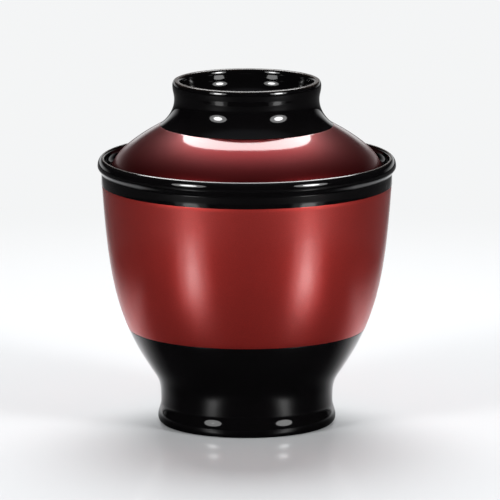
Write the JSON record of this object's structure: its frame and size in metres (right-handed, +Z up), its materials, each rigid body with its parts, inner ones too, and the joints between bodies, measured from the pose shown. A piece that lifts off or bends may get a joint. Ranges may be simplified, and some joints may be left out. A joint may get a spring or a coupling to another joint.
{
  "type": "lidded soup bowl",
  "caption": "Small lacquered soup bowl on a waisted foot, with a domed lid that drops into its rim and lifts off by a ring; red coats on belly and dome.",
  "frame": {"origin": "centre of the flat ring that the bowl stands on, at the surface of the table", "axes": "+Z up along the axis that bowl and lid are turned about; X and Y are alike"},
  "size_m": [0.0842, 0.0842, 0.0979],
  "materials": {
    "black_lacquer": "gloss black lacquer over a moulded body",
    "red_lacquer": "dark red pearl lacquer under a clear coat"
  },
  "bodies": {
    "bowl": {"bowl_body": "black_lacquer", "bowl_red_coat": "red_lacquer"},
    "lid": {"lid_body": "black_lacquer", "lid_red_coat": "red_lacquer"}
  },
  "joints": [
    {"name": "lid_lift", "type": "slide", "parent": "bowl", "child": "lid", "axis": [0, 0, 1], "range_m": [0, 0.1]}
  ]
}
